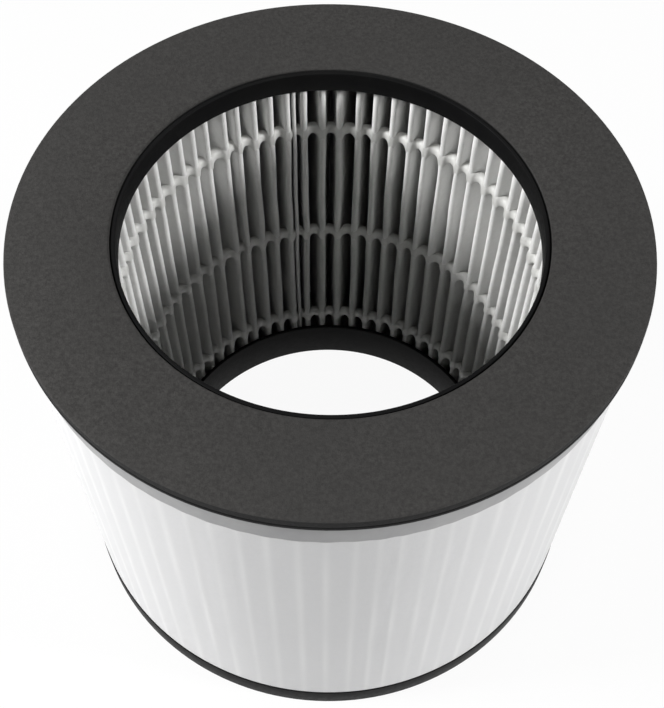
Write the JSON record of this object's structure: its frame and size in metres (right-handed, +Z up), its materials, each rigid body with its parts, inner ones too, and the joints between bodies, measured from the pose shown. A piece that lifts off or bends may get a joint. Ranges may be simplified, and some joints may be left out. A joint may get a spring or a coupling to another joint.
{
  "type": "cylindrical air purifier filter",
  "caption": "Round pleated filter with an open bore, black end caps, a foam sealing ring on top and a white non-woven wrap; it cleans air drawn through its pleats.",
  "frame": {"origin": "centre of the base, on the plane that the filter stands on", "axes": "+Z up along the bore axis towards the foam ring, +Y away from the viewer to the back"},
  "size_m": [0.172, 0.172, 0.1455],
  "materials": {
    "sealing_foam": "matte, fine closed-cell foam",
    "cap_plastic": "satin moulded black",
    "cured_adhesive": "smooth, light grey",
    "filter_media": "matte white fibre sheet",
    "hot_melt": "milky, slightly glossy",
    "wrap_cloth": "matte white non-woven"
  },
  "bodies": {
    "root": {"top_sealing_ring": "sealing_foam", "top_end_cap": "cap_plastic", "top_potting": "cured_adhesive", "pleated_media": "filter_media", "seam_adhesive": "hot_melt", "glue_bead_upper": "hot_melt", "glue_bead_middle": "hot_melt", "glue_bead_lower": "hot_melt", "outer_wrap": "wrap_cloth", "bottom_potting": "cured_adhesive", "bottom_end_cap": "cap_plastic"}
  },
  "joints": []
}
